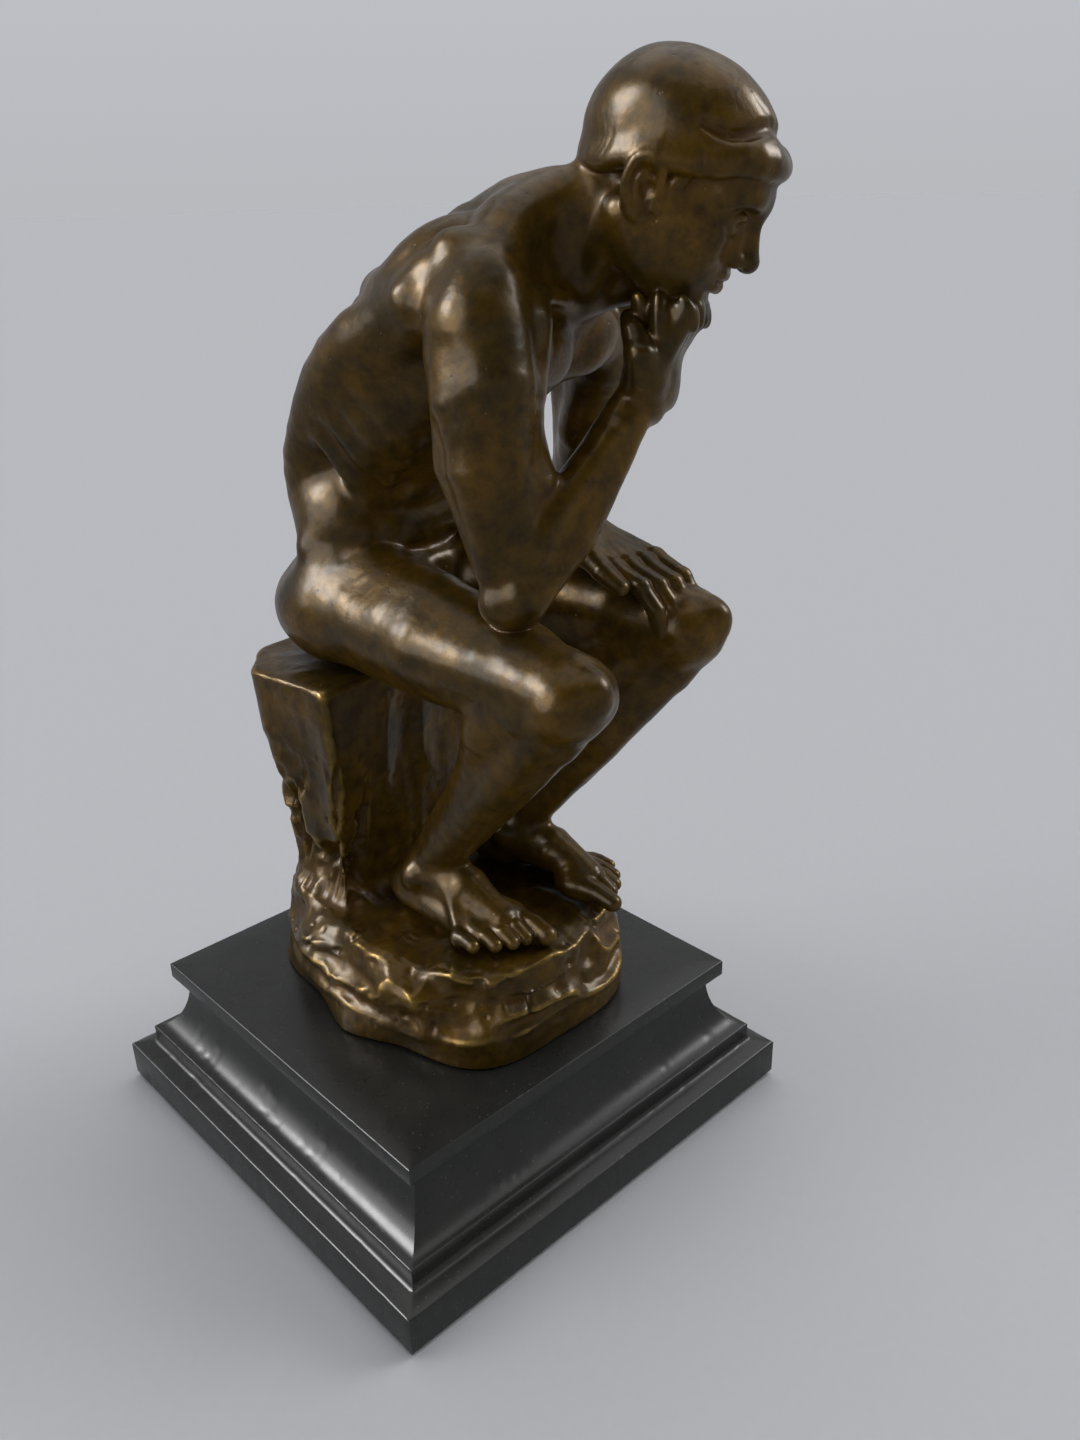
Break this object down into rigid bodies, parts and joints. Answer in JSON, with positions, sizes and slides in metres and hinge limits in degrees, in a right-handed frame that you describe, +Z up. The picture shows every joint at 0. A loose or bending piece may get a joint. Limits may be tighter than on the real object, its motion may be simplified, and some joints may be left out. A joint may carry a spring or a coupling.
{
  "type": "seated figure statuette",
  "caption": "Bronze seated figure in thought, chin on hand, on a rough rock bolted to a moulded black stone base with a felt underside.",
  "frame": {"origin": "centre of the base's felt underside", "axes": "+Z up; X and Y square to the sides of the base; the figure faces towards -Y, turned a little to +X"},
  "size_m": [0.1483, 0.1451, 0.2791],
  "materials": {
    "felt": "black felt",
    "stone": "black marble, honed to a soft polish",
    "steel": "zinc-plated steel",
    "bronze": "brown patinated cast bronze, waxed, rubbed to gold on the ridges"
  },
  "bodies": {
    "root": {"felt_pad": "felt", "plinth_block": "stone", "top_slab": "stone", "fixing_studs": "steel", "fixing_washers": "steel", "fixing_nuts": "steel", "rock_casting": "bronze", "torso_casting": "bronze", "head_casting": "bronze", "right_arm_casting": "bronze", "left_arm_casting": "bronze", "right_leg_casting": "bronze", "left_leg_casting": "bronze"}
  },
  "joints": []
}
